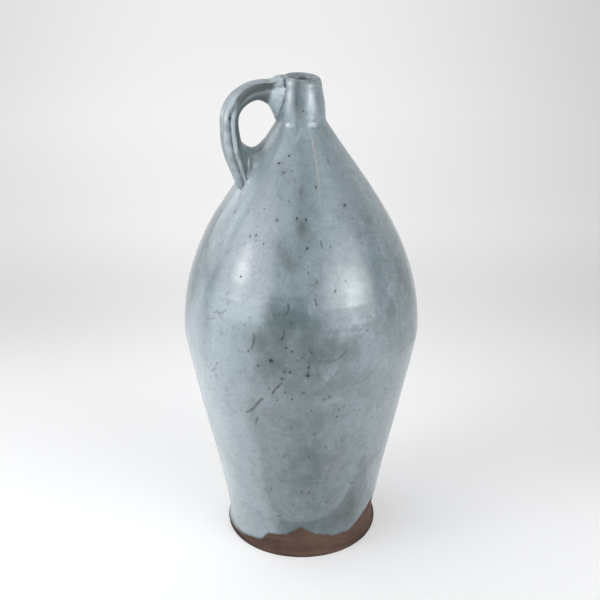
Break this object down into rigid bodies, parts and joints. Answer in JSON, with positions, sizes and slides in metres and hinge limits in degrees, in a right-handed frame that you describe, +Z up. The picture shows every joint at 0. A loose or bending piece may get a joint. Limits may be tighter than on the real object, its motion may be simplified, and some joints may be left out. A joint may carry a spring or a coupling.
{
  "type": "stoneware jug",
  "caption": "Tall wheel-thrown stoneware jug with a swelling body, narrow bottle neck and loop handle, glazed inside and out above a bare clay foot.",
  "frame": {"origin": "centre of the flat base, on the jug's axis, on the surface that it stands on", "axes": "+Z up along the jug's axis, -X toward the handle, -Y toward the front"},
  "size_m": [0.1962, 0.1962, 0.4001],
  "materials": {
    "bare_clay": "matte, dark brown stoneware",
    "outer_glaze": "satin gloss, speckled blue-grey",
    "liner_glaze": "gloss, grey"
  },
  "bodies": {
    "root": {"lower_section": "bare_clay", "shoulder_section": "bare_clay", "neck_ring": "bare_clay", "handle": "bare_clay", "outer_glaze": "outer_glaze", "liner_glaze": "liner_glaze"}
  },
  "joints": []
}
